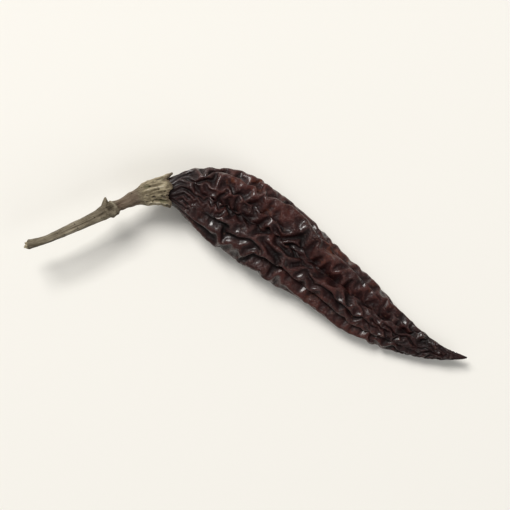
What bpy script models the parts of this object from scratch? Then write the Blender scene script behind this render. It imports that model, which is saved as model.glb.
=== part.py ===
"""A whole dried chilli pepper, lying on its side on a flat surface.

Three pieces follow one curved spine: the stalk from its broken end, the calyx that caps the shoulder, and the
shrunken pod down to its thin tip. Metres, +Z up. The origin is under the middle of the chilli's box, on the
surface that it lies on, and +X runs from the stalk's end towards the pod's tip.
"""

import math

import bmesh
import bpy
import numpy as np

# Driving dimensions
POD_LENGTH = 0.080  # along the spine, from the pole under the calyx to the tip
POD_WIDTH = 0.0172  # widest, lying flat
POD_THICKNESS = 0.0106  # thickest, before the underside is pressed flat
STALK_LENGTH = 0.025
STALK_WIDTH = 0.0023
CALYX_REACH = 0.0040  # how far the calyx's rim runs down the pod, between two teeth
TOOTH_REACH = 0.0017  # how much further a tooth runs
CALYX_TEETH = 5
NECK_HEIGHT = 0.0032  # calyx above the pod's pole
NECK_WIDTH, NECK_FLARE = 0.0037, 0.0055  # at its top, and where it meets the pod's pole
RIM_THICKNESS = 0.0007
JOINT_GAP = 0.0003  # between one piece and the next

# How finely each piece is divided
SPINE_STEP = 0.0002
POD_RINGS, POD_COLUMNS = 56, 42
END_CROWDING = 0.75  # 0 spaces the pod's rings evenly, 1 draws them together at both ends
FIRST_RING = 0.02  # share of the calyx's reach where its inside starts, next to the pole
CALYX_RINGS, CALYX_COLUMNS = 10, 35
STALK_RINGS, STALK_COLUMNS = 28, 15

POD_START = STALK_LENGTH + NECK_HEIGHT + 2 * JOINT_GAP
WHOLE_LENGTH = POD_START + POD_LENGTH

# The spine: (share of the whole length, heading in plan from +X, in degrees)
HEADINGS = (
    (0.0, 29), (0.08, 33), (0.16, 36), (0.205, 36), (0.235, 30), (0.27, 18), (0.305, 8),
    (0.37, -11), (0.46, -23), (0.62, -31), (0.80, -27), (0.92, -13), (1.0, 4),
)
# (share of the whole length, height of the spine)
HEIGHTS = (
    (0.0, 0.0086), (0.12, 0.0084), (0.26, 0.0062), (0.42, 0.0049),
    (0.55, 0.0043), (0.72, 0.0032), (0.88, 0.0020), (1.0, 0.0030),
)

# Shares of the pod's length against shares of its greatest width and thickness
POD_WIDTHS = (
    (0.0, 0.26), (0.05, 0.34), (0.12, 0.66), (0.21, 0.94), (0.30, 1.0), (0.42, 0.94),
    (0.54, 0.80), (0.65, 0.72), (0.77, 0.53), (0.87, 0.32), (0.94, 0.165), (1.0, 0.05),
)
POD_THICKNESSES = (
    (0.0, 0.42), (0.05, 0.52), (0.12, 0.80), (0.21, 0.98), (0.30, 1.0), (0.44, 0.92),
    (0.60, 0.80), (0.76, 0.60), (0.88, 0.36), (0.95, 0.21), (1.0, 0.08),
)
SHOULDER_SHARE = 0.06  # of the pod's length, where the rounded shoulder ends
TIP_SHARE = 0.02  # where the rounded tip starts, from the end

# Creases: side of the pod in degrees (90 is the top), drift over its length, half width in degrees, depth,
# first and last share of the length
CREASES = (
    (98, -40, 15, 0.0017, 0.10, 0.90),
    (48, 26, 12, 0.0012, 0.16, 0.62),
    (146, -14, 13, 0.0013, 0.28, 0.86),
    (8, 30, 11, 0.0008, 0.34, 0.95),
    (186, 16, 12, 0.0008, 0.12, 0.55),
)
CREASE_WAVES, CREASE_SWING = 9, 6  # how a crease snakes: radians over the length, degrees to either side
CREASE_FADE = 0.13  # share of the length over which a crease fades in or out
WRINKLE_COUNT = 11  # small valleys round the pod
WRINKLE_DEPTH = 0.00045
WRINKLE_START = (0.09, 0.2)  # shares of the length between which the wrinkles fade in
WRINKLE_WANDER = ((1.3, 7, 0), (0.8, 17, 1), (0.5, 31, 2))  # swing, waves and phase, in radians

# Stalk: shares of its length against shares of its width
STALK_WIDTHS = (
    (0.0, 1.02), (0.05, 0.94), (0.16, 0.82), (0.36, 0.88), (0.58, 1.02), (0.70, 1.20), (0.80, 1.60),
    (0.88, 1.12), (0.94, 1.22), (1.0, 1.50),
)
STALK_FLUTES, FLUTE_DEPTH, FLUTE_TWIST = 5, 0.07, 2

# Finishes: linear colour and roughness
SKIN = ("dried_skin", (0.040, 0.009, 0.008), 0.38)
CALYX = ("dried_calyx", (0.26, 0.20, 0.09), 0.7)
STEM = ("dried_stalk", (0.17, 0.14, 0.08), 0.75)


def clear_scene():
    for old in list(bpy.data.objects):
        bpy.data.objects.remove(old)


def through(knots, at):
    """A smooth curve through (place, value) knots: a cubic between each two, with Catmull-Rom slopes."""
    place, value = np.array(knots, float).T
    slope = np.gradient(value, place)
    at = np.clip(at, place[0], place[-1])
    k = np.clip(np.searchsorted(place, at, side="right") - 1, 0, len(place) - 2)
    span = place[k + 1] - place[k]
    t = (at - place[k]) / span
    start = (1 + 2 * t) * (1 - t) ** 2 * value[k] + t * (1 - t) ** 2 * span * slope[k]
    end = t**2 * (3 - 2 * t) * value[k + 1] + t**2 * (t - 1) * span * slope[k + 1]
    return start + end


def ramp(low, high, x):
    """0 below low, 1 above high, and a smooth step between."""
    t = np.clip((x - low) / (high - low), 0, 1)
    return t * t * (3 - 2 * t)


class Spine:
    """The chilli's centreline: its plan adds up the headings, and its height is read from knots."""

    def __init__(self):
        self.s = np.arange(0, WHOLE_LENGTH + SPINE_STEP, SPINE_STEP)
        share = self.s / WHOLE_LENGTH
        heading = np.radians(through(HEADINGS, share))
        height = through(HEIGHTS, share)
        step = np.stack([np.cos(heading), np.sin(heading)], 1) * SPINE_STEP
        plan = np.cumsum(step, axis=0)
        self.points = np.column_stack([plan, height])

    def frame(self, s):
        """Centre, direction, left side and upper side at arc length s."""
        centre = np.stack([np.interp(s, self.s, self.points[:, i]) for i in range(3)], -1)
        slope = np.gradient(self.points, self.s, axis=0)
        along = np.stack([np.interp(s, self.s, slope[:, i]) for i in range(3)], -1)
        along /= np.linalg.norm(along, axis=-1, keepdims=True)
        left = np.stack([-along[..., 1], along[..., 0], np.zeros_like(along[..., 0])], -1)
        left /= np.linalg.norm(left, axis=-1, keepdims=True)
        return centre, along, left, np.cross(along, left)

    def place(self, s, sideways, upwards):
        """Points that stand off the spine at arc length s."""
        centre, _, left, up = self.frame(s)
        return centre + left * sideways[..., None] + up * upwards[..., None]


def end_rounding(u):
    """1 along the pod, falling as a quarter ellipse to 0 at the pole and at the tip."""
    shoulder = np.clip(1 - u / SHOULDER_SHARE, 0, 1)
    tip = np.clip((u - 1 + TIP_SHARE) / TIP_SHARE, 0, 1)
    return np.sqrt(1 - shoulder**2) * np.sqrt(1 - tip**2)


def crease_depth(u, side):
    """How far the dried wall folds in: a few long creases, and small valleys between round ridges."""
    depth = np.zeros(np.broadcast(u, side).shape)
    for start, drift, half_width, deepest, first, last in CREASES:
        middle = np.radians(start + drift * u + CREASE_SWING * np.sin(CREASE_WAVES * u + start))
        away = np.angle(np.exp(1j * (side - middle))) / math.radians(half_width)
        reach = ramp(first, first + CREASE_FADE, u) * (1 - ramp(last - CREASE_FADE, last, u))
        depth += deepest * reach * np.exp(-(away**2))
    wander = sum(swing * np.sin(waves * u + phase) for swing, waves, phase in WRINKLE_WANDER)
    valleys = 1 - np.abs(np.sin(WRINKLE_COUNT / 2 * side + wander))
    slim = np.minimum(1, through(POD_WIDTHS, u) * 1.4)
    return slim * (depth + WRINKLE_DEPTH * valleys * ramp(*WRINKLE_START, u))


def pod_half(size, shares, u):
    """Half of the pod's smooth width or thickness at share u of its length."""
    return size / 2 * through(shares, u) * end_rounding(u)


def pod_surface(spine, u, side, folded=True):
    """The pod's skin at share u of its length and angle side round it. Unfolded, it has no creases."""
    half_width = pod_half(POD_WIDTH, POD_WIDTHS, u)
    half_height = pod_half(POD_THICKNESS, POD_THICKNESSES, u)
    if folded:
        inward = crease_depth(u, side) * end_rounding(u)
        half_width = half_width - inward
        half_height = half_height - inward
    s = POD_START + u * POD_LENGTH
    return spine.place(s, half_width * np.cos(side), half_height * np.sin(side))


def angles(columns):
    return np.arange(columns) * 2 * math.pi / columns


def make_pod(spine):
    """Rings from pole to tip, closer together at both ends. The underside is pressed flat at the surface."""
    t = np.linspace(0, 1, POD_RINGS)
    u = t - END_CROWDING * np.sin(2 * math.pi * t) / (2 * math.pi)
    grid = pod_surface(spine, u[:, None], angles(POD_COLUMNS)[None, :])
    grid[..., 2] = np.maximum(grid[..., 2], 0)
    return add_tube("pod", grid, SKIN)


def make_calyx(spine):
    """A funnel over the shoulder. Its inside follows the pod at the joint gap. Outside, a flared neck runs
    into a thin wall that ends in teeth."""
    side = angles(CALYX_COLUMNS)[None, :]
    tooth = (0.5 + 0.5 * np.cos(CALYX_TEETH * side)) ** 2
    reach = CALYX_REACH + TOOTH_REACH * tooth
    v = np.linspace(0, 1, CALYX_RINGS)[:, None]
    outer = calyx_outside(spine, v * (NECK_HEIGHT + reach) - NECK_HEIGHT, side)
    u = reach / POD_LENGTH * (FIRST_RING + (1 - FIRST_RING) * v**1.5)
    inner = pod_surface(spine, u, side, folded=False) + envelope_normals(spine, u, side) * JOINT_GAP
    grid = np.concatenate([outer, inner[::-1]])
    return add_tube("calyx", grid, CALYX)


def calyx_outside(spine, below, side):
    """The outside at a distance below the pod's pole: the neck's cone and the wall over the pod, joined
    smoothly as the fourth root of the sum of their fourth powers."""
    u = np.clip(below / POD_LENGTH, 0, 1)
    cone = through(((-NECK_HEIGHT, NECK_WIDTH / 2), (0, NECK_FLARE / 2)), below)
    over = np.where(below > 0, JOINT_GAP + RIM_THICKNESS, 0)
    half_width = (cone**4 + (pod_half(POD_WIDTH, POD_WIDTHS, u) + over) ** 4) ** 0.25
    half_height = (cone**4 + (pod_half(POD_THICKNESS, POD_THICKNESSES, u) + over) ** 4) ** 0.25
    return spine.place(POD_START + below, half_width * np.cos(side), half_height * np.sin(side))


def envelope_normals(spine, u, side):
    """Outward normals of the pod without its creases, from its slopes along and around."""
    step = 1e-4

    def skin(at, angle):
        return pod_surface(spine, at, angle, folded=False)

    along = skin(u + step, side) - skin(np.maximum(u - step, 0), side)
    around = skin(u, side + step) - skin(u, side - step)
    normal = np.cross(around, along)
    return normal / np.linalg.norm(normal, axis=-1, keepdims=True)


def make_stalk(spine):
    """A fluted stem with a swelling at its node, a flared broken end and a flare into the calyx."""
    share = np.linspace(0, 1, STALK_RINGS)[:, None]
    side = angles(STALK_COLUMNS)[None, :]
    flutes = 1 + FLUTE_DEPTH * np.cos(STALK_FLUTES * side + FLUTE_TWIST * share)
    radius = STALK_WIDTH / 2 * through(STALK_WIDTHS, share) * flutes
    grid = spine.place(share * STALK_LENGTH, radius * np.cos(side), radius * np.sin(side))
    return add_tube("stalk", grid, STEM)


def add_tube(name, grid, finish):
    """A closed mesh from rings of points: quads between rings, and a fan of triangles at each end."""
    made = bmesh.new()
    rings = [[made.verts.new(point) for point in ring] for ring in grid]
    first = made.verts.new(grid[0].mean(axis=0))
    last = made.verts.new(grid[-1].mean(axis=0))
    columns = len(rings[0])
    for j in range(columns):
        k = (j + 1) % columns
        for here, after in zip(rings, rings[1:]):
            made.faces.new((here[j], here[k], after[k], after[j]))
        made.faces.new((first, rings[0][k], rings[0][j]))
        made.faces.new((last, rings[-1][j], rings[-1][k]))
    mesh = bpy.data.meshes.new(name)
    made.to_mesh(mesh)
    made.free()
    mesh.materials.append(plain_material(*finish))
    mesh.shade_smooth()
    piece = bpy.data.objects.new(name, mesh)
    bpy.context.scene.collection.objects.link(piece)
    return piece


def plain_material(name, colour, roughness):
    material = bpy.data.materials.new(name)
    material.use_nodes = True
    shader = material.node_tree.nodes["Principled BSDF"]
    shader.inputs["Base Color"].default_value = (*colour, 1)
    shader.inputs["Roughness"].default_value = roughness
    shader.inputs["Metallic"].default_value = 0
    return material


def centre_on_origin(pieces):
    """Moves the pieces together so that the origin is under the middle of their box."""
    corners = np.array([v.co for piece in pieces for v in piece.data.vertices])
    middle = (corners.min(axis=0) + corners.max(axis=0)) / 2
    for piece in pieces:
        piece.location = (-middle[0], -middle[1], 0)


def main():
    clear_scene()
    spine = Spine()
    centre_on_origin([make_pod(spine), make_calyx(spine), make_stalk(spine)])


main()
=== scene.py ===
"""A dried red chilli pepper on a pale floor, in soft studio light.

The CAD's three nodes are measured where they lie. Each is replaced by a finished surface that follows it:
the pod's skin, shrunk onto the pod until it buckles into wrinkles, the ribbed calyx, and the fluted stalk.
"""

import math

import bpy
import numpy as np
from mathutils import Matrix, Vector


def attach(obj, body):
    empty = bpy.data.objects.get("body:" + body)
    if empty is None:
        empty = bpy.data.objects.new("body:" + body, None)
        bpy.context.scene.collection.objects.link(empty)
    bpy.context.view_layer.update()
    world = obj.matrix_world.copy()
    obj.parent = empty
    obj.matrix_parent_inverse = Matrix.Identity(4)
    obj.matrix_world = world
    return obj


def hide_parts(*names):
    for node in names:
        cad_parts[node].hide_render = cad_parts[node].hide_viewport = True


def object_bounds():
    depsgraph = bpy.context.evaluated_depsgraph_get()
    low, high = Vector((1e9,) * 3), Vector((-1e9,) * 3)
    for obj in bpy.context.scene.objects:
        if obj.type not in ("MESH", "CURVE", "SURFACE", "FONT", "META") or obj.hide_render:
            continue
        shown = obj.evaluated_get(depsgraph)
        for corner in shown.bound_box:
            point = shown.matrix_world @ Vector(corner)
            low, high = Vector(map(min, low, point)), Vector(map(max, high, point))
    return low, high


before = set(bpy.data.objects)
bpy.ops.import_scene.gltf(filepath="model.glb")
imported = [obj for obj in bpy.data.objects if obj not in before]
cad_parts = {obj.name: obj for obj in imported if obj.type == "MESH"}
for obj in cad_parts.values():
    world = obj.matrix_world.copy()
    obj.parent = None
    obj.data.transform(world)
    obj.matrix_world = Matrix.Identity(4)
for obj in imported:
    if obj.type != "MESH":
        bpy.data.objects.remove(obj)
cad_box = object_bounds()

MM = 0.001
TURN = 2 * math.pi


# -------- helpers on arrays


def unit(vectors):
    """Each vector divided by its length."""
    return vectors / np.maximum(np.linalg.norm(vectors, axis=-1, keepdims=True), 1e-12)


def ramp(low, high, x):
    """0 below low, 1 above high, and a smooth step between."""
    t = np.clip((x - low) / (high - low), 0, 1)
    return t * t * (3 - 2 * t)


def bell(x, width):
    """A smooth bump, 1 in its middle, that falls to 1/e at width."""
    return np.exp(-((x / width) ** 2))


def turned_by(side, angle):
    """Sides measured from angle, from minus half a turn to half a turn."""
    return (side - angle + math.pi) % TURN - math.pi


def sides_of(columns):
    """The side, as an angle, of each column of a ring grid."""
    return np.arange(columns) * TURN / columns


def crowded(count, crowding):
    """Shares from 0 to 1: even ones less a sine wave, which draws them together at both ends."""
    even = np.linspace(0, 1, count)
    return even - crowding * np.sin(TURN * even) / TURN


def eased(points):
    """The points averaged with their neighbours, a quarter, a half and a quarter. The two ends stay."""
    points = np.copy(points)
    points[1:-1] = (points[:-2] + 2 * points[1:-1] + points[2:]) / 4
    return points


def read_table(table, row, column):
    """A ring table read between its rows and columns, which close into a ring, by straight lines."""
    low = np.clip(row.astype(int), 0, len(table) - 2)
    left = np.floor(column).astype(int)
    down, across = np.clip(row - low, 0, 1), column - left
    left, right = left % table.shape[1], (left + 1) % table.shape[1]
    near = table[low, left] * (1 - across) + table[low, right] * across
    far = table[low + 1, left] * (1 - across) + table[low + 1, right] * across
    return near * (1 - down) + far * down


def through(place, value, at):
    """A smooth curve through values at rising places: a cubic between each two, with Catmull-Rom slopes."""
    place, value, at = np.asarray(place, float), np.asarray(value, float), np.asarray(at, float)
    slope = np.gradient(value, place, axis=0)
    at = np.clip(at, place[0], place[-1])
    k = np.clip(np.searchsorted(place, at, side="right") - 1, 0, len(place) - 2)
    span = place[k + 1] - place[k]
    t = (at - place[k]) / span
    extra = (...,) + (None,) * (value.ndim - 1)
    t, span = t[extra], span[extra]
    start = (1 + 2 * t) * (1 - t) ** 2 * value[k] + t * (1 - t) ** 2 * span * slope[k]
    end = t**2 * (3 - 2 * t) * value[k + 1] + t**2 * (t - 1) * span * slope[k + 1]
    return start + end


def smooth_field(random, shape, along, around):
    """A random field with unit spread on a grid of rows and columns that close into a ring. Its features are
    about along rows and around columns long: white noise blurred by a Gaussian in frequency."""
    rows, columns = shape
    waves_along = np.fft.fftfreq(2 * rows)[:, None] * along
    waves_around = np.fft.rfftfreq(columns)[None, :] * around
    noise = np.fft.rfft2(random.standard_normal((2 * rows, columns)))
    kept = np.exp(-2 * (waves_along**2 + waves_around**2))
    field = np.fft.irfft2(noise * kept, s=(2 * rows, columns))[:rows]
    return (field - field.mean()) / field.std()


def uneven(random, shape, patch, swing, least, most):
    """A factor about 1 that swings by a smooth random field, kept between least and most."""
    return np.clip(1 + swing * smooth_field(random, shape, *patch), least, most)


def grid_normals(grid):
    """Outward normals of a tube's grid: around crossed with along."""
    along = np.gradient(grid, axis=0)
    around = np.roll(grid, -1, axis=1) - np.roll(grid, 1, axis=1)
    return unit(np.cross(around, along))


# -------- measuring the CAD


LINE_SLICES = 70  # the slices that the centreline is found from
LINE_POINTS = 1200  # the points that it is kept as
END_INSET = 0.4 * MM  # the first and the last slice lie this far inside the ends
SLICE_REACH = 14 * MM  # a slice takes no point further than this from the line


def edge_ends(*cad_nodes):
    """The two ends of every edge of these CAD nodes."""
    found = []
    for cad_node in cad_nodes:
        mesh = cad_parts[cad_node].data
        points = np.empty(len(mesh.vertices) * 3)
        mesh.vertices.foreach_get("co", points)
        pairs = np.empty(len(mesh.edges) * 2, int)
        mesh.edges.foreach_get("vertices", pairs)
        found.append(points.reshape(-1, 3)[pairs.reshape(-1, 2)])
    return np.concatenate(found)


def cut(ends, origin, along, reach=SLICE_REACH):
    """Where the plane through origin, square to along, cuts the edges within reach of origin."""
    height = (ends - origin) @ along
    crossing = height[:, 0] * height[:, 1] < 0
    first, last = height[crossing, 0], height[crossing, 1]
    share = (first / (first - last))[:, None]
    points = ends[crossing, 0] + (ends[crossing, 1] - ends[crossing, 0]) * share
    return points[np.linalg.norm(points - origin, axis=1) < reach]


class Line:
    """The chilli's centreline, from the stalk's end to the pod's tip, with a frame at each arc length."""

    def __init__(self, points):
        step = np.linalg.norm(np.diff(points, axis=0), axis=1)
        place = np.concatenate([[0], np.cumsum(step)])
        self.length = place[-1]
        self.s = np.linspace(0, self.length, LINE_POINTS)
        self.points = through(place, points, self.s)
        self.along = unit(np.gradient(self.points, axis=0))

    def frame(self, s):
        """Centre, direction, left side and upper side at arc length s."""
        centre = np.stack([np.interp(s, self.s, self.points[:, i]) for i in range(3)], -1)
        along = unit(np.stack([np.interp(s, self.s, self.along[:, i]) for i in range(3)], -1))
        left = unit(np.stack([-along[..., 1], along[..., 0], 0 * along[..., 0]], -1))
        return centre, along, left, np.cross(along, left)

    def place(self, s, sideways, upwards):
        """Points that stand off the line at arc length s."""
        centre, _, left, up = self.frame(s)
        return centre + left * sideways[..., None] + up * upwards[..., None]

    def nearest(self, points, rounds=12, stride=0.8):
        """Arc length of the line's place nearest to each point: a guess by X, then steps along the line."""
        s = np.interp(points[:, 0], self.points[:, 0], self.s)
        for _ in range(rounds):
            centre, along, _, _ = self.frame(s)
            s = np.clip(s + stride * ((points - centre) * along).sum(axis=1), 0, self.length)
        return s


def measured_line(rounds=4):
    """The middle of the chilli's slices, cut square to X at first, then square to the line found so far."""
    ends = edge_ends(*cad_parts)
    low, high = ends.min(axis=(0, 1)), ends.max(axis=(0, 1))
    x = np.linspace(low[0] + END_INSET, high[0] - END_INSET, LINE_SLICES)
    points = np.stack([x, 0 * x, 0 * x + high[2] / 2], 1)
    along = np.tile([1.0, 0.0, 0.0], (LINE_SLICES, 1))
    reach = 1.0
    for _ in range(rounds):
        for k in range(LINE_SLICES):
            slice_points = cut(ends, points[k], along[k], reach)
            left = unit(np.array([-along[k][1], along[k][0], 0]))
            axes = np.stack([left, np.cross(along[k], left)])
            if len(slice_points) > 4:
                offset = (slice_points - points[k]) @ axes.T
                points[k] += (offset.min(axis=0) + offset.max(axis=0)) / 2 @ axes
        points = eased(points)
        along = unit(np.gradient(points, axis=0))
        reach = SLICE_REACH
    for _ in range(rounds):
        points = eased(points)
    first = points[0] - along[0] * END_INSET
    last = points[-1] + along[-1] * END_INSET
    return Line(np.concatenate([[first], points, [last]]))


def node_span(line, cad_node):
    """Arc lengths where a CAD node starts and ends."""
    s = line.nearest(edge_ends(cad_node)[:, 0])
    return s.min(), s.max()


def node_sections(line, cad_node, s, sides):
    """A CAD node's slices at arc lengths s: the middle's offset from the line, and the sides' radii."""
    ends = edge_ends(cad_node)
    middles, radii = [], []
    for place in s:
        centre, along, left, up = line.frame(place)
        offset = (cut(ends, centre, along) - centre) @ np.stack([left, up]).T
        middle = (offset.min(axis=0) + offset.max(axis=0)) / 2
        spoke = offset - middle
        angle = np.arctan2(spoke[:, 1], spoke[:, 0]) % TURN
        order = np.argsort(angle)
        radii.append(np.interp(sides, angle[order], np.hypot(*spoke.T)[order], period=TURN))
        middles.append(middle)
    return np.array(middles), np.array(radii)


# -------- the pod


POD_ROWS, POD_COLUMNS = 412, 240
POD_CROWDING = 0.55  # 0 spaces the skin's rows evenly, 1 crowds them most at both ends
POD_SLICES, SLICE_CROWDING = 90, 0.8
NECK_SHARE = 0.15  # the calyx is fitted to this share of the pod's length
SKIN_INSET = 0.25 * MM  # the unfolded skin lies this far inside the measured body
ROOM = 0.75 * MM  # how far the unfolded underside stays off the floor, so that its folds have room
FLAW = 0.02 * MM  # the unevenness that starts the buckling

# How much too long the skin is round the pod and along it, and how strongly it is held to the pod
FOLD_HOOP, FOLD_AXIAL, FOLD_HOLD = 0.33, 0.055, 0.0034
CRINKLE_HOOP, CRINKLE_AXIAL, CRINKLE_HOLD = 0.11, 0.06, 0.016
NECK_HOLD = 0.02  # added where the calyx grips the skin

FOLD_ROWS, FOLD_COLUMNS = 240, 144
FOLD_SHARE = (0.035, 0.985)  # the folds cover this share of the pod's length
CAP_ROWS = 12  # rows at each end that the crinkles leave alone
FOLD_STEPS, CRINKLE_STEPS = 400, 110


class PodCore:
    """The pod's measured body: a point for each share u of its length and each side."""

    def __init__(self, line):
        self.line = line
        self.start, self.end = node_span(line, "pod")
        self.length = self.end - self.start
        self.sides = sides_of(POD_COLUMNS)
        u = crowded(POD_SLICES + 2, SLICE_CROWDING)[1:-1]
        middles, radii = node_sections(line, "pod", self.arc(u), self.sides)
        self.u = np.concatenate([[0], u, [1]])
        self.middles = np.concatenate([middles[:1], middles, middles[-1:]])
        pole = np.zeros((1, POD_COLUMNS))
        radii = np.concatenate([pole, radii, pole])
        for _ in range(3):
            radii = (np.roll(radii, 1, axis=1) + 2 * radii + np.roll(radii, -1, axis=1)) / 4
        self.radii = radii

    def arc(self, u):
        """The arc length at shares u."""
        return self.start + self.length * u

    def radius(self, u, side, rows=160):
        """The measured radius at shares u and sides, near the calyx."""
        table = through(self.u, self.radii, np.linspace(0, NECK_SHARE, rows))
        column = np.broadcast_to(side / TURN * POD_COLUMNS, u.shape)
        return read_table(table, u / NECK_SHARE * (len(table) - 1), column)

    def middle(self, u):
        """The measured middle's offset from the line at shares u."""
        return through(self.u, self.middles, u)

    def unfolded(self, u, columns):
        """The unfolded skin's grid at shares u: the body drawn in by the inset, at most to half. Past the
        calyx its underside is lifted by ROOM, and points higher up by less: the lift falls by e for each two
        ROOMs of height."""
        side = sides_of(columns)
        radius = through(self.u, self.radii, u)
        radius = np.stack([np.interp(side, self.sides, row, period=TURN) for row in radius])
        radius = np.maximum(radius - SKIN_INSET, radius * 0.5)
        middle = through(self.u, self.middles, u)
        sideways = middle[:, :1] + radius * np.cos(side)
        upwards = middle[:, 1:] + radius * np.sin(side)
        points = self.line.place(self.arc(u)[:, None] + 0 * side, sideways, upwards)
        points[..., 2] += ROOM * np.exp(-points[..., 2] / (2 * ROOM)) * ramp(0.05, 0.12, u)[:, None]
        return points


def buckle(body, normal, hoop_excess, axial_excess, hold, random, steps):
    """A skin that is too large for its body, shrunk onto it.

    Springs round the pod, along it and on both diagonals want (1 + excess) times their length on the body. A
    plate term resists bending: the second difference of the points, less the body's own. A bed of springs of
    strength hold along the normals ties the skin to the body, and a weaker one keeps it from slipping. The
    skin buckles where its energy is least. The excess grows through the first part of the steps. Each step
    goes down the energy's slope, divided in frequency space by the stiffness of a flat sheet, and keeps most
    of its last motion. No point goes below the floor.
    """
    stretch, shear, bend = 1.0, 0.25, 0.0128
    growing, slipping, momentum, stride = 0.6, 0.3, 0.93, 0.9
    rows, columns = body.shape[:2]

    def rise(a):
        return np.roll(a, -1, axis=1)

    def lengths(a):
        return np.sqrt((a * a).sum(axis=2))

    hoop = lengths(rise(body) - body)
    axial = lengths(body[1:] - body[:-1])
    climb = lengths(rise(body)[1:] - body[:-1])
    fall = lengths(body[1:] - rise(body)[:-1])
    hoop_bend = rise(body) - 2 * body + np.roll(body, 1, axis=1)
    axial_bend = body[2:] - 2 * body[1:-1] + body[:-2]
    hoop_middle = (hoop_excess[1:] + hoop_excess[:-1]) / 2
    axial_middle = (axial_excess[1:] + axial_excess[:-1]) / 2
    hoop_part = ((hoop[1:] + hoop[:-1]) / 2) ** 2
    axial_part = axial**2

    waves_around = 2 - 2 * np.cos(TURN * np.fft.rfftfreq(columns))[None, :]
    waves_along = 2 - 2 * np.cos(TURN * np.fft.fftfreq(2 * rows))[:, None]
    sheet = (stretch + 2 * shear) * (waves_around + waves_along) + bend * (waves_around**2 + waves_along**2)
    sheet = (sheet + 3 * hold.max() + 0.002)[..., None]

    here = body + (FLAW * smooth_field(random, (rows, columns), 8, 8))[..., None] * normal
    ahead = here
    for step in range(steps):
        grow = min(1.0, (step + 1) / (growing * steps))
        diagonal = np.sqrt(
            (hoop_part * (1 + grow * hoop_middle) ** 2 + axial_part * (1 + grow * axial_middle) ** 2)
            / (hoop_part + axial_part)
        )
        slope = np.zeros_like(ahead)
        turned = rise(ahead)

        gap = turned - ahead
        pull = (stretch * (1 - hoop * (1 + grow * hoop_excess) / lengths(gap)))[..., None] * gap
        slope += np.roll(pull, 1, axis=1) - pull
        gap = ahead[1:] - ahead[:-1]
        pull = (stretch * (1 - axial * (1 + grow * axial_middle) / lengths(gap)))[..., None] * gap
        slope[1:] += pull
        slope[:-1] -= pull
        gap = turned[1:] - ahead[:-1]
        pull = (shear * (1 - climb * diagonal / lengths(gap)))[..., None] * gap
        slope[1:] += np.roll(pull, 1, axis=1)
        slope[:-1] -= pull
        gap = ahead[1:] - turned[:-1]
        pull = (shear * (1 - fall * diagonal / lengths(gap)))[..., None] * gap
        slope[1:] += pull
        slope[:-1] -= np.roll(pull, 1, axis=1)

        curl = bend * (turned - 2 * ahead + np.roll(ahead, 1, axis=1) - hoop_bend)
        slope += rise(curl) - 2 * curl + np.roll(curl, 1, axis=1)
        curl = bend * (ahead[2:] - 2 * ahead[1:-1] + ahead[:-2] - axial_bend)
        slope[2:] += curl
        slope[1:-1] -= 2 * curl
        slope[:-2] += curl

        away = ahead - body
        height = (away * normal).sum(axis=2)[..., None]
        slope += hold[..., None] * (height * normal + slipping * (away - height * normal))

        waves = np.fft.rfft2(np.concatenate([slope, slope[::-1]]), axes=(0, 1))
        move = np.fft.irfft2(waves / sheet, s=(2 * rows, columns), axes=(0, 1))[:rows]
        after = ahead - stride * move
        after[..., 2] = np.maximum(after[..., 2], 0)
        ahead = after + momentum * (after - here)
        here = after
    return here


def resample(field, u_from, u_to, columns):
    """A field on a ring grid, read at other rows and another number of columns."""
    rows = through(u_from, field, u_to)
    count = field.shape[1]
    side_from = np.arange(count + 3) - 1
    side_to = np.arange(columns) * count / columns
    wrapped = np.concatenate([rows[:, -1:], rows, rows[:, :2]], axis=1)
    return np.moveaxis(through(side_from, np.moveaxis(wrapped, 1, 0), side_to), 0, 1)


def folded_skin(core, u, random):
    """The skin's grid at shares u, buckled into folds a few millimetres wide on the measured body. They are
    worked out on a coarser grid. How far it moved is read for the finer one, and fades at both ends."""
    folds_u = np.linspace(*FOLD_SHARE, FOLD_ROWS)
    body = core.unfolded(folds_u, FOLD_COLUMNS)
    shape = (FOLD_ROWS, FOLD_COLUMNS)
    slack = (ramp(0.045, 0.12, folds_u) * (1 - 0.4 * ramp(0.9, 1.0, folds_u)))[:, None]
    hoop_excess = FOLD_HOOP * slack * uneven(random, shape, (34, 26), 0.3, 0.4, 1.8)
    axial_excess = FOLD_AXIAL * slack * uneven(random, shape, (34, 26), 0.6, 0.1, 2.4)
    hold = FOLD_HOLD * np.exp(-0.75 * smooth_field(random, shape, 30, 22))
    hold = np.clip(hold, 0.0006, 0.016) + NECK_HOLD * (1 - ramp(0.035, 0.06, folds_u))[:, None]
    steps = FOLD_STEPS
    folded = buckle(body, grid_normals(body), hoop_excess, axial_excess, hold, random, steps)

    moved = resample(folded - body, folds_u, u, POD_COLUMNS)
    fade = ramp(0.0, 0.05, u) * (1 - ramp(0.975, 1.0, u))
    folds = core.unfolded(u, POD_COLUMNS) + moved * fade[:, None, None]
    folds[..., 2] = np.maximum(folds[..., 2], 0)
    return folds


def crinkled_skin(folds, u, random):
    """The folded skin buckled again, but for its two caps, into crinkles about one millimetre wide."""
    inner = slice(CAP_ROWS, -CAP_ROWS)
    shape = folds[inner].shape[:2]
    slack = (ramp(0.05, 0.12, u[inner]) * (1 - ramp(0.965, 0.99, u[inner])))[:, None]
    hoop_excess = CRINKLE_HOOP * slack * uneven(random, shape, (30, 24), 0.8, 0, 2.6)
    axial_excess = CRINKLE_AXIAL * slack * uneven(random, shape, (30, 24), 0.8, 0, 2.6)
    hold = CRINKLE_HOLD * np.exp(-0.7 * smooth_field(random, shape, 30, 24))
    steps = CRINKLE_STEPS
    normal = grid_normals(folds)[inner]
    crinkled = np.copy(folds)
    crinkled[inner] = buckle(folds[inner], normal, hoop_excess, axial_excess, hold, random, steps)
    return crinkled


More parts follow.
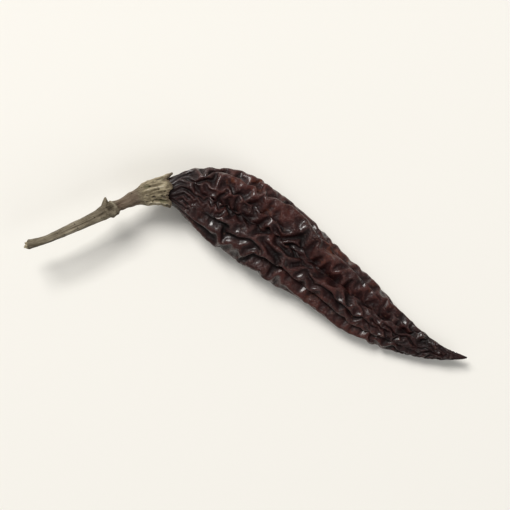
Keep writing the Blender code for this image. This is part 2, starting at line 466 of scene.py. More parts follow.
def pod_skin(core):
    """The skin's grid from pole to tip, buckled twice: into folds, and then into crinkles on the folds."""
    random = np.random.default_rng(42)
    u = crowded(POD_ROWS, POD_CROWDING)
    return crinkled_skin(folded_skin(core, u, random), u, random)


def blurred(grid, reach):
    """The grid's points averaged with their neighbours, by a Gaussian over reach rows and columns."""
    rows, columns = grid.shape[:2]
    waves_along = np.fft.fftfreq(2 * rows)[:, None]
    waves_around = np.fft.rfftfreq(columns)[None, :]
    kept = np.exp(-2 * (math.pi * reach) ** 2 * (waves_along**2 + waves_around**2))[..., None]
    waves = np.fft.rfft2(np.concatenate([grid, grid[::-1]]), axes=(0, 1))
    return np.fft.irfft2(waves * kept, s=(2 * rows, columns), axes=(0, 1))[:rows]


def standing(grid, reach, most):
    """How far each point stands out of the surface blurred over reach cells: a half plus half its height over
    most, from 0 in the hollows to 1 on the heights."""
    height = ((grid - blurred(grid, reach)) * grid_normals(grid)).sum(axis=2)
    return np.clip(0.5 + 0.5 * height / most, 0, 1)


# -------- the stalk


STALK_ROWS, STALK_COLUMNS = 420, 108
STALK_SLICES = 40
KNOB_SLICES = slice(10, 34)  # the knob is the thickest of these slices
JOIN = 2.4 * MM  # how far the stalk's flutes run on under the calyx's neck

# Heights on the stalk, as shares of its radius
FLUTE, WAVER, THREAD, LUMP = 0.14, 0.07, 0.035, 0.07
SCAR, GROOVE, KNOB_PIT = 0.24, 0.14, 0.28

KNOB_WIDTH = 2.0 * MM
SCAR_PLACE, SCAR_TILT = 0.7 * MM, 0.8 * MM  # how far past the knob the leaf's scar lies, and how far it leans
SCAR_WIDTH, GROOVE_PLACE, GROOVE_WIDTH = 0.30 * MM, 0.75 * MM, 0.40 * MM
PIT_WIDTH, SPUR_WIDTH, SPUR_REACH = 0.5 * MM, 0.90 * MM, 1.30 * MM
SPUR_CUT = 0.80  # the share of the spur that is left when its point is cut off
SCAR_SIDE, PIT_SIDE, SPUR_SIDE = 2.2, 1.35, 0.35

BREAK_DEPTH = 1.6 * MM  # how far the ragged break reaches along the stalk
BREAK_RINGS = (0.06, 0.30, 0.55, 0.76, 0.92)  # rings that close the broken end, as shares of its radius


class Stem:
    """The stalk's radius at each place: its measured thickness times 0.97 plus a relief, and a thorn-like
    spur, a cone with its point cut off. The relief is five uneven flutes that twist, threads, lumps that
    gather at the knob, a tilted ring where a leaf sat with a groove behind it, and a pit."""

    def __init__(self, line):
        random = np.random.default_rng(8)
        self.start, self.end = node_span(line, "stalk")
        self.s = np.linspace(self.start, self.end + JOIN, STALK_ROWS)
        side = sides_of(STALK_COLUMNS)
        slices = np.linspace(self.start + 0.3 * MM, self.end - 0.3 * MM, STALK_SLICES)
        thickness = node_sections(line, "stalk", slices, side)[1].mean(axis=1)
        self.knob = slices[KNOB_SLICES][np.argmax(thickness[KNOB_SLICES])]

        s = self.s[:, None]
        v = (s - self.start) / (self.end - self.start)
        shape = (STALK_ROWS, STALK_COLUMNS)
        twist = 1.2 * v + 0.5 * np.sin(7 * v)
        flutes = np.abs(np.cos(2.5 * side + twist)) ** 0.7 - 0.6
        waver = smooth_field(random, shape, 130, 22)
        threads = smooth_field(random, shape, 60, 5)
        lumps = smooth_field(random, shape, 18, 15)
        at_knob = bell(s - self.knob, KNOB_WIDTH)
        relief = FLUTE * flutes + WAVER * waver + THREAD * threads + LUMP * lumps * (0.25 + 1.2 * at_knob)

        ring = self.knob + SCAR_PLACE + SCAR_TILT * np.cos(side - 2.4)
        relief += SCAR * bell(s - ring, SCAR_WIDTH) * (0.35 + 0.65 * bell(turned_by(side, SCAR_SIDE), 1.5))
        relief -= GROOVE * bell(s - ring - GROOVE_PLACE, GROOVE_WIDTH)
        off_pit = np.hypot(s - self.knob + 0.1 * MM, turned_by(side, PIT_SIDE) * 1.3 * MM)
        self.pit = bell(off_pit, PIT_WIDTH)
        relief -= KNOB_PIT * self.pit
        off_spur = np.hypot((s - self.knob + 0.5 * MM) * 0.9, turned_by(side, SPUR_SIDE) * 1.5 * MM)
        self.spur = SPUR_REACH * np.minimum(np.clip(1 - off_spur / SPUR_WIDTH, 0, 1) ** 1.25, SPUR_CUT)
        self.relief = relief
        self.table = through(slices, thickness, s) * (0.97 + relief) + self.spur

    def radius(self, s, side):
        """The stalk's radius at arc lengths s and sides."""
        row = (s - self.s[0]) / (self.s[1] - self.s[0])
        column = np.broadcast_to(side / TURN * STALK_COLUMNS, np.broadcast(s, side).shape)
        return read_table(self.table, np.broadcast_to(row, column.shape), column)


def stalk_stem(line, stem):
    """The stalk as one closed grid, with a ragged, hollowed break at its free end. Also gives the relief,
    where the raw wood shows, and the neck beyond the knob."""
    random = np.random.default_rng(12)
    side = sides_of(STALK_COLUMNS)
    rows = stem.s <= stem.end + 0.7 * MM
    s, radius = stem.s[rows, None], stem.table[rows]
    near = s - stem.start
    ragged = smooth_field(random, (2, STALK_COLUMNS), 1, 5)[0]
    torn = (0.45 + 0.20 * ragged + 0.25 * np.cos(side - 1)) * MM
    place = s + torn * (1 - ramp(0, BREAK_DEPTH, near)) + 0.7 * stem.spur[rows]

    inward = np.array(BREAK_RINGS)[:, None]
    pith = smooth_field(random, (len(inward), STALK_COLUMNS), 2, 9)
    cap = place[:1] + (0.30 * (1 - inward**3) + 0.06 * pith) * MM
    place, radius = np.concatenate([cap, place]), np.concatenate([radius[:1] * inward, radius])
    grid = line.place(place, radius * np.cos(side), radius * np.sin(side))

    # This relief sets the bark's colour: hollows and the pit come out darker as painted shade, flutes paler
    # partly as a painted highlight.
    relief = np.clip(0.5 + 1.6 * stem.relief[rows] - 0.3 * stem.pit[rows], 0, 1)
    raw = 1 - ramp(0.15 * MM, 0.7 * MM, near + 0.15 * MM * ragged)
    neck = ramp(stem.knob + 0.8 * MM, stem.knob + 2.4 * MM, s) + 0 * side
    relief = np.concatenate([0.5 + 0.2 * pith, relief])
    return grid, relief, np.concatenate([1 + 0 * pith, raw]), np.concatenate([0 * pith, neck])


# -------- the calyx


CALYX_ROWS, CALYX_COLUMNS = 170, 320
TEETH = 5
TOOTH_WIDTH, RIB_WIDTH, SMALL_RIB_WIDTH = 0.34, 0.10, 0.08  # as angles
HOLLOW_REACH = 0.66  # between two teeth the rim comes this share of the CAD rim's way over the pod
TOOTH_REACH = (0.80, 1.0)  # the same at a tooth
TOOTH_CURL, RIM_CURL = (0.20 * MM, 0.50 * MM), 0.12 * MM  # how far a tooth and the whole rim curl outwards
CUP_WALL, RIM_THINNING = 0.62 * MM, 0.34 * MM
STALK_BLEND = 2.2 * MM  # over this length the stalk's own surface gives way to the cup's
RIB, SHRIVEL, CREASE, PIT = 0.26, 0.09, 0.03, 0.30  # heights on the cup, in millimetres
LARGE_PITS = ((0.56, 2.05), (0.72, 2.32), (0.83, 1.95), (0.86, 2.62), (0.68, 4.9))  # share of the cup, side
SMALL_PITS = 24


def calyx_pits(v, side, random):
    """Pits in the cup, large ones at their places and small ones strewn about: bells, 1 at most in sum."""
    places = np.concatenate([LARGE_PITS, random.uniform((0.35, 0.0), (0.97, TURN), (SMALL_PITS, 2))])
    sizes = np.concatenate([np.full(len(LARGE_PITS), 0.42), random.uniform(0.18, 0.32, SMALL_PITS)])
    pits = sum(
        bell(np.hypot((v - share) * 9, turned_by(side, angle) * 4), size)
        for (share, angle), size in zip(places, sizes)
    )
    return np.minimum(pits, 1)


def calyx_cup(line, core, stem):
    """The calyx as one closed grid. Its neck starts on the stalk's own surface and swells into a bell: the
    fourth root of the sum of the fourth powers of the neck's cone and of the wall over the pod. Ribs run into
    five teeth that curl outwards, the panels between them are shrivelled, and pits are strewn over it. Behind
    a thin rim the grid runs back inside, just off the pod. Also gives the relief, the rim, and where the
    calyx looks like the stalk."""
    random = np.random.default_rng(5)
    side = sides_of(CALYX_COLUMNS)
    start, end = node_span(line, "calyx")
    neck = core.start - start
    reach_most = end - core.start
    flare_places = [start + 0.1 * neck, start + 0.9 * neck]
    flare = node_sections(line, "calyx", flare_places, core.sides)[1].mean(axis=1)

    middles = np.arange(TEETH)[:, None] * TURN / TEETH
    tooth_sides = turned_by(side, middles + random.uniform(-0.1, 0.1, (TEETH, 1)))
    tooth_reach = reach_most * random.uniform(*TOOTH_REACH, (TEETH, 1))
    tooth_curl = random.uniform(*TOOTH_CURL, (TEETH, 1))
    tooth = bell(tooth_sides, TOOTH_WIDTH)
    between = bell(turned_by(side, middles + TURN / TEETH / 2), SMALL_RIB_WIDTH).sum(axis=0)
    rib = bell(tooth_sides, RIB_WIDTH).sum(axis=0) + 0.6 * between
    hollow = HOLLOW_REACH * reach_most
    ragged = 0.12 * MM * smooth_field(random, (2, CALYX_COLUMNS), 1, 6)[0]
    reach = hollow + (tooth * (tooth_reach - hollow)).sum(axis=0) + ragged
    curl = RIM_CURL + (tooth * tooth_curl).sum(axis=0)

    v = np.linspace(0, 1, CALYX_ROWS)[:, None]
    s = start + v * (neck + reach)
    below = s - core.start
    pod_radius = np.maximum(core.radius(np.clip(below / core.length, 0, 1), side) - SKIN_INSET, 0)
    wall = np.where(below > 0, CUP_WALL - RIM_THINNING * ramp(0.55, 1.0, v), 0)
    cone = np.interp(s, [start, core.start], flare)
    bell_shape = (cone**4 + (pod_radius + wall) ** 4) ** 0.25
    shape = (CALYX_ROWS, CALYX_COLUMNS)
    shrivel = smooth_field(random, shape, 34, 9)
    creases = smooth_field(random, shape, 12, 5)
    ribbed = ramp(0.1, 0.45, v) * (1 - 0.4 * ramp(0.85, 1, v))
    pits = calyx_pits(v, side, random)
    relief = ribbed * (RIB * rib - 0.15 + SHRIVEL * shrivel + CREASE * creases) - PIT * pits
    lift = curl * ramp(0.60, 1.0, v) ** 1.6
    on_stalk = 1 - ramp(0, STALK_BLEND, s - start)
    outer = bell_shape + relief * MM + lift
    outer = outer * (1 - on_stalk) + (stem.radius(s, side) + 0.03 * MM) * on_stalk

    back_v = np.linspace(1, 0.02, CALYX_ROWS // 3)[:, None]
    back_s = core.start + back_v * reach
    inner = core.radius(np.clip(back_v * reach / core.length, 0, 1), side) - SKIN_INSET + 0.05 * MM
    inner = inner + curl * ramp(0.35, 1.0, back_v) ** 1.6
    rim = (outer[-1:] + inner[:1]) / 2
    lip = outer[:1] * np.array([[0.3], [0.8]])

    radius = np.concatenate([lip, outer, rim, inner])
    arc = np.concatenate([s[:1] + 0 * lip, s, s[-1:] + 0.12 * MM, back_s])
    middle = core.middle(np.clip((arc - core.start) / core.length, 0, 1))
    middle = middle * ramp(-0.5 * neck, 0.5 * neck, arc - core.start)[..., None]
    grid = line.place(arc, middle[..., 0] + radius * np.cos(side), middle[..., 1] + radius * np.sin(side))
    grid[..., 2] = np.maximum(grid[..., 2], 0)

    # This shade sets the calyx's colour: the pits come out dark as painted shade, the ribs pale.
    shade = np.clip(0.45 + 0.45 * rib * ribbed + 0.14 * shrivel * ribbed - 0.75 * pits, 0, 1)
    # Inside the cup, under the rim, the colour is dark as painted shade.
    relief = np.concatenate([shade[:1] + 0 * lip, shade, 0.9 + 0 * rim, 0.1 + 0 * inner])
    edge, back_edge = ramp(0.86, 1.0, v) + 0 * side, ramp(0.8, 1.0, back_v) + 0 * side
    edge = np.concatenate([0 * lip, edge, 1 + 0 * rim, back_edge])
    stalky = np.concatenate([1 + 0 * lip, on_stalk + 0 * side, 0 * rim, 0 * inner])
    return grid, relief, edge, stalky


# -------- meshes


UV_MARGIN = 0.01  # the share of the UV map's length that each end's fan takes


def tube(name, grid, line, **fields):
    """A mesh from a grid whose rows are rings: quads between the rings, and a fan to a pole at each end.

    Each field becomes an attribute. The attribute straight holds each point's place with the centreline drawn
    straight: arc length, then the two offsets from it. The UV map runs along the piece and around it."""
    rows, columns = grid.shape[:2]
    poles = np.stack([grid[0].mean(axis=0), grid[-1].mean(axis=0)])
    points = np.concatenate([grid.reshape(-1, 3), poles])
    index = np.arange(rows * columns).reshape(rows, columns)
    turned = np.roll(index, -1, axis=1)
    quads = np.stack([index[:-1], turned[:-1], turned[1:], index[1:]], axis=-1).reshape(-1, 4)
    first = np.stack([turned[0], index[0], np.full(columns, rows * columns)], axis=-1)
    last = np.stack([index[-1], turned[-1], np.full(columns, rows * columns + 1)], axis=-1)
    corners = np.concatenate([quads.ravel(), first.ravel(), last.ravel()])
    sizes = np.concatenate([np.full(len(quads), 4), np.full(2 * columns, 3)])
    mesh = bpy.data.meshes.new(name)
    mesh.vertices.add(len(points))
    mesh.vertices.foreach_set("co", points.astype(np.float32).ravel())
    mesh.loops.add(len(corners))
    mesh.loops.foreach_set("vertex_index", corners.astype(np.int32))
    mesh.polygons.add(len(sizes))
    mesh.polygons.foreach_set("loop_start", (np.cumsum(sizes) - sizes).astype(np.int32))
    mesh.update(calc_edges=True)
    mesh.shade_smooth()

    along = np.linspace(UV_MARGIN, 1 - UV_MARGIN, rows)
    around = np.linspace(0, 1, columns + 1)
    low_u, high_u = np.repeat(along[:-1], columns), np.repeat(along[1:], columns)
    low_v, high_v = np.tile(around[:-1], rows - 1), np.tile(around[1:], rows - 1)
    quad_uv = np.stack([low_u, low_v, low_u, high_v, high_u, high_v, high_u, low_v], axis=-1)
    near, far = np.full(columns, along[0]), np.full(columns, along[-1])
    half = (around[:-1] + around[1:]) / 2
    first_uv = np.stack([near, around[1:], near, around[:-1], 0 * near, half], axis=-1)
    last_uv = np.stack([far, around[:-1], far, around[1:], 0 * far + 1, half], axis=-1)
    layer = mesh.uv_layers.new(name="OFBake")
    layer.data.foreach_set("uv", np.concatenate([quad_uv.ravel(), first_uv.ravel(), last_uv.ravel()]))

    s = line.nearest(points)
    centre, _, left, up = line.frame(s)
    offset = points - centre
    straight = np.stack([s, (offset * left).sum(axis=1), (offset * up).sum(axis=1)], axis=-1)
    layer = mesh.attributes.new("straight", "FLOAT_VECTOR", "POINT")
    layer.data.foreach_set("vector", straight.astype(np.float32).ravel())
    for label, values in fields.items():
        ends = [values[0].mean(), values[-1].mean()]
        layer = mesh.attributes.new(label, "FLOAT", "POINT")
        layer.data.foreach_set("value", np.concatenate([values.ravel(), ends]).astype(np.float32))
    piece = bpy.data.objects.new(name, mesh)
    bpy.context.scene.collection.objects.link(piece)
    return piece


def finish_piece(piece, cad_node, material):
    """A piece in its material, riding with the one body, in place of its CAD node."""
    piece.data.materials.append(material)
    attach(piece, "root")
    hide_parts(cad_node)


# -------- shader nodes


def node(tree, kind, inputs, **settings):
    """A new node, with its settings made and each named input linked to a socket or given a value."""
    made = tree.nodes.new("ShaderNode" + kind)
    for name, value in settings.items():
        setattr(made, name, value)
    for name, value in inputs.items():
        if isinstance(value, bpy.types.NodeSocket):
            tree.links.new(value, made.inputs[name])
        else:
            made.inputs[name].default_value = value
    return made


def maths(tree, operation, *values):
    """The result of a Math node."""
    return node(tree, "Math", dict(enumerate(values)), operation=operation).outputs[0]


def spread(tree, value, low, high, to_low=0.0, to_high=1.0):
    """The value stretched from low..high to to_low..to_high, with a smooth start and end."""
    inputs = {"Value": value, "From Min": low, "From Max": high, "To Min": to_low, "To Max": to_high}
    return node(tree, "MapRange", inputs, interpolation_type="SMOOTHSTEP").outputs["Result"]


def blend_colours(tree, mask, first, second):
    """The first colour where the mask is 0, and the second where it is 1."""
    return node(tree, "Mix", {0: mask, 6: first, 7: second}, data_type="RGBA").outputs[2]


def tinted(tree, colour, mask, tint, most):
    """The colour with a tint over it: its strength is the mask times most."""
    return blend_colours(tree, maths(tree, "MULTIPLY", mask, most), colour, (*tint, 1))


def colour_ramp(tree, value, stops):
    """Colours that follow one another at the given places, with smooth steps."""
    made = node(tree, "ValToRGB", {"Fac": value})
    made.color_ramp.interpolation = "EASE"
    elements = made.color_ramp.elements
    while len(elements) < len(stops):
        elements.new(0.5)
    for element, (place, colour) in zip(elements, stops):
        element.position = place
        element.color = (*colour, 1)
    return made.outputs["Color"]


def attribute(tree, name, output="Fac"):
    """A mesh attribute of the piece."""
    return node(tree, "Attribute", {}, attribute_name=name).outputs[output]


def new_group(name, vectors, numbers, outputs):
    """A shader node group with vector inputs, number inputs at their usual values, and outputs by kind."""
    tree = bpy.data.node_groups.new(name, "ShaderNodeTree")
    for label in vectors:
        tree.interface.new_socket(label, in_out="INPUT", socket_type="NodeSocketVector")
    for label, value in numbers.items():
        socket = tree.interface.new_socket(label, in_out="INPUT", socket_type="NodeSocketFloat")
        socket.default_value = value
    for label, kind in outputs.items():
        tree.interface.new_socket(label, in_out="OUTPUT", socket_type="NodeSocket" + kind)
    return tree, tree.nodes.new("NodeGroupInput").outputs, tree.nodes.new("NodeGroupOutput").inputs


def effect(tree, group, **inputs):
    """The outputs of a node group placed in a tree with its own inputs."""
    return node(tree, "Group", inputs, node_tree=group).outputs


# -------- effects


# Bark colours by relief: darker in the hollows as painted shade, paler on the flutes partly by wear and
# partly as a painted highlight.
BARK_SHADE_AND_HIGHLIGHT_COLOURS = (
    (0.15, (0.036, 0.024, 0.014)), (0.42, (0.086, 0.066, 0.039)),
    (0.66, (0.160, 0.130, 0.084)), (0.95, (0.310, 0.268, 0.190)),
)  # hollows, flanks, flutes, worn flutes
NECK_RED, BARK_SPECK = (0.165, 0.105, 0.072), (0.025, 0.016, 0.009)


def mottle_group():
    """Cloudy patches: noise with features of Size, sharpened about its middle by Contrast."""
    numbers = {"Size": 0.004, "Contrast": 2.0}
    tree, given, results = new_group("mottle", ["Vector"], numbers, {"Mask": "Float"})
    scale = maths(tree, "DIVIDE", 1.0, given["Size"])
    inputs = {"Vector": given["Vector"], "Scale": scale, "Detail": 3.0, "Distortion": 0.6}
    cloud = node(tree, "TexNoise", inputs).outputs["Fac"]
    sharp = maths(tree, "MULTIPLY_ADD", maths(tree, "SUBTRACT", cloud, 0.5), given["Contrast"], 0.5)
    tree.links.new(node(tree, "Clamp", {"Value": sharp}).outputs[0], results["Mask"])
    return tree


def specks_group():
    """Scattered dots: cells of Spacing, with a dot of Dot times the cell in those whose own number is below
    Share."""
    numbers = {"Spacing": 0.0008, "Dot": 0.3, "Share": 0.4}
    tree, given, results = new_group("specks", ["Vector"], numbers, {"Mask": "Float"})
    scale = maths(tree, "DIVIDE", 1.0, given["Spacing"])
    cells = node(tree, "TexVoronoi", {"Vector": given["Vector"], "Scale": scale}).outputs
    inner = maths(tree, "MULTIPLY", given["Dot"], 0.5)
    inputs = {"Value": cells["Distance"], "From Min": given["Dot"], "From Max": inner}
    near = node(tree, "MapRange", inputs).outputs["Result"]
    number = node(tree, "SeparateColor", {"Color": cells["Color"]}).outputs[0]
    chosen = maths(tree, "LESS_THAN", number, given["Share"])
    tree.links.new(maths(tree, "MULTIPLY", near, chosen), results["Mask"])
    return tree


def fibres_group():
    """Fine lines along the piece: noise on coordinates whose first runs along the fibres and is shortened by
    Length."""
    numbers = {"Width": 0.00025, "Length": 12.0}
    tree, given, results = new_group("fibres", ["Vector"], numbers, {"Height": "Float"})
    shorter = maths(tree, "DIVIDE", 1.0, given["Length"])
    shrink = node(tree, "CombineXYZ", {0: shorter, 1: 1.0, 2: 1.0}).outputs[0]
    drawn = node(tree, "VectorMath", {0: given["Vector"], 1: shrink}, operation="MULTIPLY").outputs[0]
    inputs = {"Vector": drawn, "Scale": maths(tree, "DIVIDE", 1.0, given["Width"]), "Detail": 2.0}
    lines = node(tree, "TexNoise", inputs).outputs["Fac"]
    tree.links.new(spread(tree, lines, 0.3, 0.7), results["Height"])
    return tree


def bark_group(effects):
    """Dry bark: brown hollows darkened as painted shade, olive-brown flanks and pale flutes, lighter partly
    by wear and partly as a painted highlight, redder at the Neck, with a few dark specks and fine fibres,
    which run along Drawn, the Place with the piece drawn straight."""
    outputs = {"Colour": "Color", "Fibre": "Float"}
    tree, given, results = new_group("bark", ["Place", "Drawn"], {"Relief": 0.5, "Neck": 0.0}, outputs)
    place = given["Place"]
    cloud = effect(tree, effects["mottle"], Vector=place, Size=4.5 * MM, Contrast=2.4)["Mask"]
    fibre = effect(tree, effects["fibres"], Vector=given["Drawn"], Width=0.20 * MM, Length=14.0)["Height"]
    specks = effect(tree, effects["specks"], Vector=place, Spacing=0.8 * MM, Dot=0.30, Share=0.35)["Mask"]
    fine = maths(tree, "MULTIPLY_ADD", fibre, 0.22, maths(tree, "MULTIPLY", cloud, 0.3))
    # The relief ramp paints shade into the hollows and, in part, a highlight onto the flutes.
    colour = colour_ramp(tree, maths(tree, "MULTIPLY_ADD", given["Relief"], 0.55, fine), BARK_SHADE_AND_HIGHLIGHT_COLOURS)
    colour = tinted(tree, colour, given["Neck"], NECK_RED, most=0.45)
    colour = tinted(tree, colour, specks, BARK_SPECK, most=0.7)
    tree.links.new(colour, results["Colour"])
    tree.links.new(fibre, results["Fibre"])
    return tree


# -------- materials


# Skin colours by how far the skin stands out: creases darkened as painted shade, crests lightened in part as
# a painted highlight.
SKIN_SHADE_AND_HIGHLIGHT_COLOURS = (
    (0.15, (0.0030, 0.0012, 0.0012)), (0.42, (0.0098, 0.0030, 0.0030)),
    (0.66, (0.0215, 0.0058, 0.0054)), (0.95, (0.0500, 0.0130, 0.0105)),
)  # creases, flanks, crests, high crests
# The third colour lightens the fine ridges, partly as wear and partly as a painted highlight.
AMBER, SCUFF, WORN_AND_HIGHLIGHT_SKIN = (0.17, 0.045, 0.014), (0.13, 0.07, 0.045), (0.090, 0.034, 0.026)

# Calyx colours by relief: darker in the pits and hollows, and inside the cup, as painted shade.
CALYX_AND_SHADE_COLOURS = (
    (0.15, (0.026, 0.016, 0.009)), (0.42, (0.125, 0.096, 0.053)),
    (0.66, (0.29, 0.240, 0.150)), (0.95, (0.52, 0.455, 0.335)),
)  # pits, panels, ribs, high ribs
OLIVE, RIM_BROWN, CALYX_SPECK = (0.095, 0.092, 0.036), (0.065, 0.036, 0.018), (0.030, 0.019, 0.010)

STRAW_COLOURS = ((0.2, (0.22, 0.17, 0.095)), (0.8, (0.48, 0.41, 0.28)))


def new_material(name):
    """A material, its node tree, its shader, and its Object coordinates."""
    material = bpy.data.materials.new(name)
    material.use_nodes = True
    tree = material.node_tree
    place = tree.nodes.new("ShaderNodeTexCoord").outputs["Object"]
    return material, tree, tree.nodes["Principled BSDF"], place


def finish(tree, shader, colour, roughness, height, depth):
    """Colour, roughness and a bump of the given depth, joined to the shader."""
    bump = node(tree, "Bump", {"Height": height, "Distance": depth, "Strength": 1.0}).outputs["Normal"]
    tree.links.new(colour, shader.inputs["Base Color"])
    tree.links.new(roughness, shader.inputs["Roughness"])
    tree.links.new(bump, shader.inputs["Normal"])


def skin_material(effects):
    """Dried skin: near black in the creases, which is painted shade, maroon on the flanks and red-brown on
    the crests, lighter there in part as a painted highlight, with thin amber patches, fine ridges lightened
    partly by wear and partly as a painted highlight, a fine leathery bump, and a waxy coat that is dull in
    the creases and rubbed to a shine on the crests, here more and there less."""
    material, tree, shader, place = new_material("dried_skin")
    crest, ridge = attribute(tree, "crest"), attribute(tree, "ridge")
    mottle = effects["mottle"]
    cloud = effect(tree, mottle, Vector=place, Size=9 * MM, Contrast=2.2)["Mask"]
    rubbed = effect(tree, mottle, Vector=place, Size=3.0 * MM, Contrast=2.6)["Mask"]
    grain = effect(tree, mottle, Vector=place, Size=1.3 * MM, Contrast=2.0)["Mask"]
    leather = effect(tree, mottle, Vector=place, Size=0.55 * MM, Contrast=2.0)["Mask"]
    scuffs = effect(tree, effects["specks"], Vector=place, Spacing=0.9 * MM, Dot=0.28, Share=0.25)["Mask"]

    patches = maths(tree, "MULTIPLY_ADD", cloud, 0.45, maths(tree, "MULTIPLY", grain, 0.28))
    # Painted shade in the creases and, in part, a painted highlight on the crests.
    shade = maths(tree, "SUBTRACT", maths(tree, "MULTIPLY_ADD", crest, 0.6, patches), 0.16)
    colour = colour_ramp(tree, shade, SKIN_SHADE_AND_HIGHLIGHT_COLOURS)
    thin = maths(tree, "MULTIPLY", spread(tree, cloud, 0.72, 1.0), spread(tree, grain, 0.35, 0.9))
    colour = tinted(tree, colour, thin, AMBER, most=0.40)
    colour = tinted(tree, colour, scuffs, SCUFF, most=0.35)
    # Lighter fine ridges: partly wear, partly a painted highlight.
    worn_and_highlight = maths(tree, "MULTIPLY", spread(tree, ridge, 0.6, 1.0), spread(tree, leather, 0.3, 0.9))
    colour = tinted(tree, colour, worn_and_highlight, WORN_AND_HIGHLIGHT_SKIN, most=0.35)

    roughness = maths(tree, "MULTIPLY_ADD", grain, 0.12, spread(tree, crest, 0.2, 0.8, 0.56, 0.34))
    on_crests = spread(tree, crest, 0.30, 0.72, to_low=0.12)
    polished = maths(tree, "MULTIPLY", on_crests, spread(tree, rubbed, 0.25, 0.8, to_low=0.22))
    shine = maths(tree, "MULTIPLY", polished, spread(tree, leather, 0.2, 0.9, to_low=0.55))
    tree.links.new(shine, shader.inputs["Coat Weight"])
    height = maths(tree, "MULTIPLY_ADD", grain, 0.6, leather)
    finish(tree, shader, colour, roughness, height, depth=0.15 * MM)
    shader.inputs["Specular IOR Level"].default_value = 0.25
    shader.inputs["Coat Roughness"].default_value = 0.19
    return material


def calyx_material(effects):
    """Dry calyx: straw on the ribs, olive and brown between them, and near black in the pits, darker in these
    hollows as painted shade, with dark specks, a browned rim, and the stalk's bark on the neck."""
    material, tree, shader, place = new_material("dry_calyx")
    relief, edge, stalky = attribute(tree, "relief"), attribute(tree, "edge"), attribute(tree, "stalky")
    drawn = attribute(tree, "straight", "Vector")
    cloud = effect(tree, effects["mottle"], Vector=place, Size=2.4 * MM, Contrast=2.4)["Mask"]
    grain = effect(tree, effects["mottle"], Vector=place, Size=0.6 * MM, Contrast=2.0)["Mask"]
    specks = effect(tree, effects["specks"], Vector=place, Spacing=0.75 * MM, Dot=0.34, Share=0.40)["Mask"]
    bark = effect(tree, effects["bark"], Place=place, Drawn=drawn, Relief=relief, Neck=stalky)

    fine = maths(tree, "MULTIPLY_ADD", bark["Fibre"], 0.16, maths(tree, "MULTIPLY", cloud, 0.3))
    # The relief ramp paints shade into the pits and hollows and inside the cup.
    colour = colour_ramp(tree, maths(tree, "MULTIPLY_ADD", relief, 0.62, fine), CALYX_AND_SHADE_COLOURS)
    colour = tinted(tree, colour, spread(tree, cloud, 0.0, 0.4, 1.0, 0.0), OLIVE, most=0.5)
    browned = spread(tree, maths(tree, "MULTIPLY_ADD", grain, 0.5, edge), 0.55, 1.3, 0.0, 0.7)
    colour = blend_colours(tree, browned, colour, (*RIM_BROWN, 1))
    dotted = maths(tree, "MULTIPLY", specks, spread(tree, cloud, 0.2, 0.7, 0.2, 0.8))
    colour = blend_colours(tree, dotted, colour, (*CALYX_SPECK, 1))
    colour = blend_colours(tree, stalky, colour, bark["Colour"])
    roughness = spread(tree, grain, 0.0, 1.0, 0.50, 0.76)
    height = maths(tree, "MULTIPLY_ADD", grain, 0.5, bark["Fibre"])
    height = maths(tree, "MULTIPLY_ADD", specks, -0.5, height)
    finish(tree, shader, colour, roughness, height, depth=0.09 * MM)
    return material


def stalk_material(effects):
    """Dry stalk: bark, with straw-coloured fibre where it broke."""
    material, tree, shader, place = new_material("dry_stalk")
    relief, raw, neck = attribute(tree, "relief"), attribute(tree, "raw"), attribute(tree, "neck")
    drawn = attribute(tree, "straight", "Vector")
    grain = effect(tree, effects["mottle"], Vector=place, Size=0.5 * MM, Contrast=2.0)["Mask"]
    bark = effect(tree, effects["bark"], Place=place, Drawn=drawn, Relief=relief, Neck=neck)
    straw = colour_ramp(tree, bark["Fibre"], STRAW_COLOURS)
    colour = blend_colours(tree, raw, bark["Colour"], straw)
    roughness = spread(tree, grain, 0.0, 1.0, 0.58, 0.82)
    height = maths(tree, "MULTIPLY_ADD", grain, 0.5, bark["Fibre"])
    finish(tree, shader, colour, roughness, height, depth=0.10 * MM)
    return material


# -------- floor, light and camera


FLOOR_HALF = 1.2
FLOOR_COLOUR, BACKDROP_COLOUR = (0.86, 0.84, 0.79, 1), (0.955, 0.935, 0.88, 1)
SURROUND_COLOUR, SURROUND_STRENGTH = (1.0, 0.985, 0.955, 1), 0.22
LENS, SENSOR_WIDTH = 90, 36
CAMERA_TURN = math.radians(8)
VIEW_WIDTH = 1.12  # in lengths of the chilli


def make_floor():
    """A matt, pale square floor."""
    far = FLOOR_HALF
    mesh = bpy.data.meshes.new("floor")
    mesh.from_pydata([(-far, -far, 0), (far, -far, 0), (far, far, 0), (-far, far, 0)], [], [(0, 1, 2, 3)])
    floor = bpy.data.objects.new("floor", mesh)
    bpy.context.scene.collection.objects.link(floor)
    material, _, shader, _ = new_material("pale_floor")
    shader.inputs["Base Color"].default_value = FLOOR_COLOUR
    shader.inputs["Roughness"].default_value = 0.9
    mesh.materials.append(material)


def area_light(name, place, size, power, colour):
    """A square lamp that faces the chilli."""
    lamp = bpy.data.lights.new(name, "AREA")
    lamp.size = size
    lamp.energy = power
    lamp.color = colour
    light = bpy.data.objects.new(name, lamp)
    bpy.context.scene.collection.objects.link(light)
    light.location = place
    light.rotation_euler = (-Vector(place)).to_track_quat("-Z", "Y").to_euler()
    return light


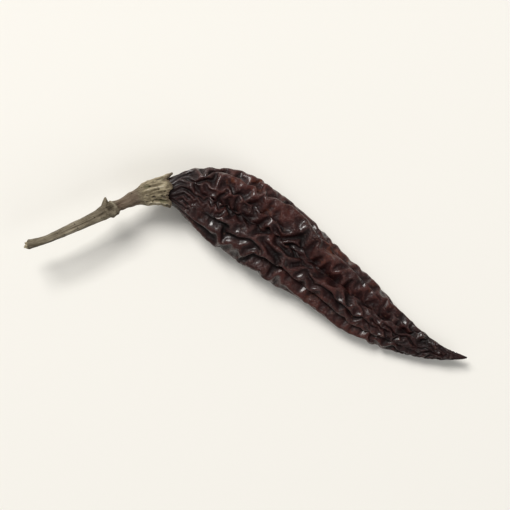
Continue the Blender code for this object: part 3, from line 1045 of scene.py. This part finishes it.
def make_lights():
    """A soft key from the upper left, a wide fill from the lower right that leaves no glint, and a dim
    surround that looks pale itself."""
    world = bpy.data.worlds.new("studio")
    world.use_nodes = True
    tree = world.node_tree
    surround = tree.nodes["Background"]
    surround.inputs["Color"].default_value = SURROUND_COLOUR
    surround.inputs["Strength"].default_value = SURROUND_STRENGTH
    backdrop = node(tree, "Background", {"Color": BACKDROP_COLOUR}).outputs[0]
    seen = node(tree, "LightPath", {}).outputs["Is Camera Ray"]
    both = node(tree, "MixShader", {0: seen, 1: surround.outputs[0], 2: backdrop}).outputs[0]
    tree.links.new(both, tree.nodes["World Output"].inputs["Surface"])
    bpy.context.scene.world = world
    area_light("key", place=(-0.70, 0.90, 1.35), size=0.72, power=30.8, colour=(1.0, 0.985, 0.96))
    fill = area_light("fill", place=(1.10, -0.70, 0.95), size=1.10, power=8.0, colour=(0.96, 0.98, 1.0))
    fill.visible_glossy = False


def make_camera(low, high):
    """Looks straight down on the chilli, turned so that it lies as it does in the heap."""
    middle = (low + high) / 2
    camera = bpy.data.cameras.new("camera")
    camera.lens = LENS
    camera.sensor_width = SENSOR_WIDTH
    seen = bpy.data.objects.new("camera", camera)
    bpy.context.scene.collection.objects.link(seen)
    distance = (high.x - low.x) * VIEW_WIDTH / (SENSOR_WIDTH / LENS)
    seen.location = middle + Vector((0, 0, distance))
    seen.rotation_euler = (0, 0, CAMERA_TURN)
    bpy.context.scene.camera = seen
    bpy.context.scene.view_settings.view_transform = "Standard"


# -------- putting it together


effects = {"mottle": mottle_group(), "specks": specks_group(), "fibres": fibres_group()}
effects["bark"] = bark_group(effects)

line = measured_line()
core = PodCore(line)
grid = pod_skin(core)
crest, ridge = standing(grid, reach=9, most=0.7 * MM), standing(grid, reach=2.5, most=0.16 * MM)
pod = tube("pod_wrinkled_skin", grid, line, crest=crest, ridge=ridge)
finish_piece(pod, "pod", skin_material(effects))

stem = Stem(line)
grid, relief, edge, stalky = calyx_cup(line, core, stem)
calyx = tube("calyx_cup", grid, line, relief=relief, edge=edge, stalky=stalky)
finish_piece(calyx, "calyx", calyx_material(effects))

grid, relief, raw, neck = stalk_stem(line, stem)
stalk = tube("stalk_stem", grid, line, relief=relief, raw=raw, neck=neck)
finish_piece(stalk, "stalk", stalk_material(effects))

make_floor()
make_lights()
make_camera(*cad_box)
